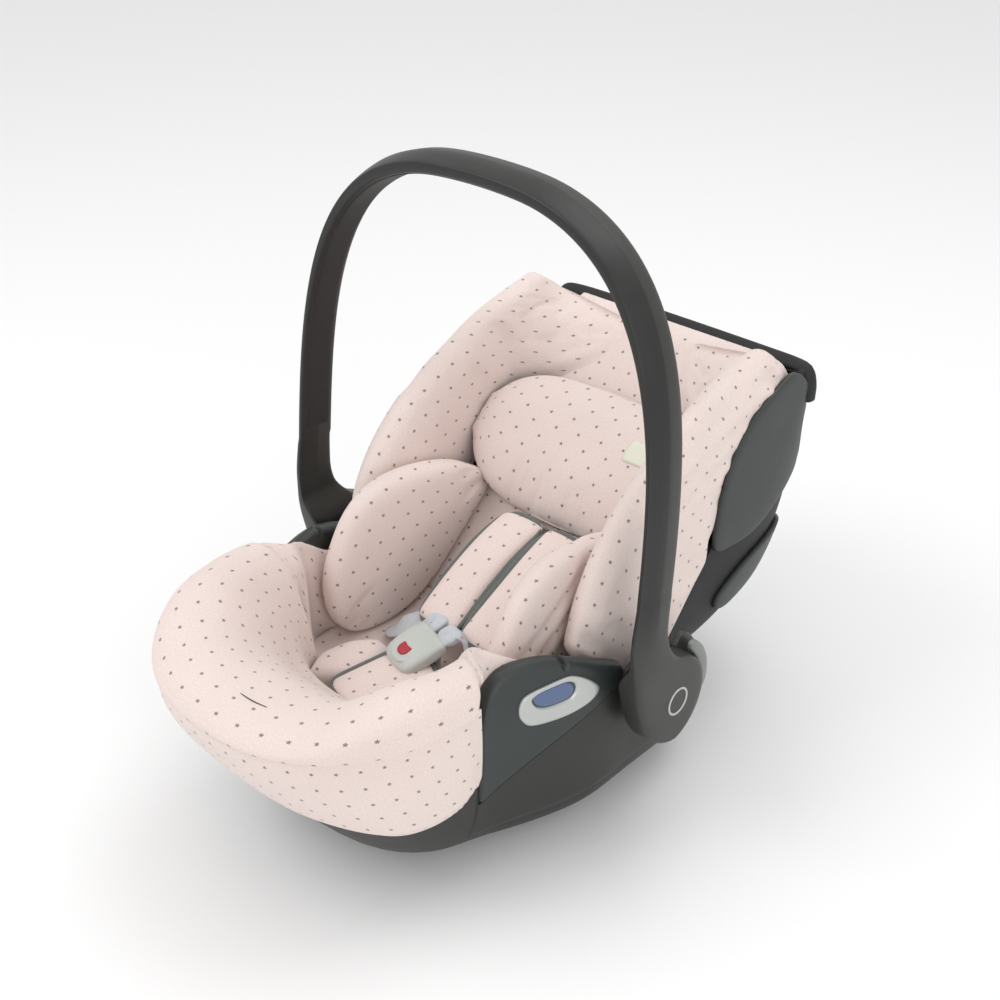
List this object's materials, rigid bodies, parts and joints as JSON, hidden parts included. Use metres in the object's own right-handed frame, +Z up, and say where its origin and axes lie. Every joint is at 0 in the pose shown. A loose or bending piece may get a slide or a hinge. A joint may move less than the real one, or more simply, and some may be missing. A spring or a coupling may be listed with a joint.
{
  "type": "infant car seat",
  "caption": "Rearward-facing infant carrier seat with a swinging carry handle, padded dotted cover, body insert, shoulder harness and reclining backrest.",
  "frame": {"origin": "middle of the footprint on the floor, under the centre of the overall box", "axes": "+Z up, -Y towards the child's feet, +X towards the child's left"},
  "size_m": [0.4232, 0.6292, 0.5701],
  "materials": {
    "shell_charcoal": "satin moulded",
    "trim_slate": "satin moulded",
    "black_plastic": "fine grained",
    "silver_plastic": "metallic lacquer",
    "blue_inlay": "gloss",
    "foam": "bead foam; light like padding",
    "cover_fabric": "cotton jersey with small dots",
    "webbing": "woven",
    "buckle_grey": "satin",
    "red_button": "satin",
    "steel": "turned",
    "skid_rubber": "matt"
  },
  "bodies": {
    "carrier": {"adjuster_body": "black_plastic", "base_shell": "shell_charcoal", "base_skid_left": "skid_rubber", "base_skid_right": "skid_rubber", "belt_guide_inlay_left": "blue_inlay", "belt_guide_inlay_right": "blue_inlay", "belt_guide_left": "silver_plastic", "belt_guide_right": "silver_plastic", "buckle_body": "buckle_grey", "buckle_tongue_left": "buckle_grey", "buckle_tongue_right": "buckle_grey", "cover_foot_roll": "cover_fabric", "cover_skirt": "cover_fabric", "crotch_pad": "cover_fabric", "crotch_strap": "webbing", "lap_strap_left": "webbing", "lap_strap_right": "webbing", "pivot_boss_left": "black_plastic", "pivot_boss_right": "black_plastic", "recline_pin_left": "steel", "recline_pin_right": "steel", "seat_bolster_left": "cover_fabric", "seat_bolster_right": "cover_fabric", "seat_foam": "foam", "seat_pad": "cover_fabric", "side_trim_left": "trim_slate", "side_trim_right": "trim_slate", "thigh_lobe_left": "cover_fabric", "thigh_lobe_right": "cover_fabric"},
    "handle": {"handle_liner": "black_plastic", "handle_shell": "shell_charcoal", "hub_cap_left": "silver_plastic", "hub_cap_right": "silver_plastic"},
    "handle_button_left": {"handle_button_left": "silver_plastic"},
    "handle_button_right": {"handle_button_right": "silver_plastic"},
    "backrest": {"back_foam": "foam", "back_pad": "cover_fabric", "back_shell": "black_plastic", "back_wing_left": "cover_fabric", "back_wing_right": "cover_fabric", "body_lobe_left": "cover_fabric", "body_lobe_right": "cover_fabric", "rim_trim": "black_plastic", "shoulder_pad_left": "cover_fabric", "shoulder_pad_right": "cover_fabric", "shoulder_strap_left": "webbing", "shoulder_strap_right": "webbing", "side_panel_lower_left": "trim_slate", "side_panel_lower_right": "trim_slate", "side_panel_upper_left": "trim_slate", "side_panel_upper_right": "trim_slate"},
    "headrest": {"head_pillow": "cover_fabric", "headrest_plate": "black_plastic"},
    "buckle_button": {"buckle_button": "red_button"},
    "adjuster_button": {"adjuster_button": "silver_plastic"}
  },
  "joints": [
    {"name": "handle_swing", "type": "hinge", "parent": "carrier", "child": "handle", "pos_m": [0, 0.02338, 0.141], "axis": [-1, 0, 0], "range_deg": [0, 100]},
    {"name": "handle_press_left", "type": "slide", "parent": "handle", "child": "handle_button_left", "axis": [-1, 0, 0], "range_m": [0, 0.004], "stiffness_N_per_m": 900},
    {"name": "handle_press_right", "type": "slide", "parent": "handle", "child": "handle_button_right", "axis": [1, 0, 0], "range_m": [0, 0.004], "stiffness_N_per_m": 900},
    {"name": "backrest_recline", "type": "hinge", "parent": "carrier", "child": "backrest", "pos_m": [0, 0.02338, 0.141], "axis": [-1, 0, 0], "range_deg": [0, 12]},
    {"name": "headrest_height", "type": "slide", "parent": "backrest", "child": "headrest", "axis": [0, 0.7349, 0.6782], "range_m": [0, 0.05]},
    {"name": "buckle_press", "type": "slide", "parent": "carrier", "child": "buckle_button", "axis": [0, 0.3746, -0.9272], "range_m": [0, 0.0028], "stiffness_N_per_m": 900},
    {"name": "adjuster_press", "type": "slide", "parent": "carrier", "child": "adjuster_button", "axis": [0, 0, -1], "range_m": [0, 0.003], "stiffness_N_per_m": 900}
  ]
}
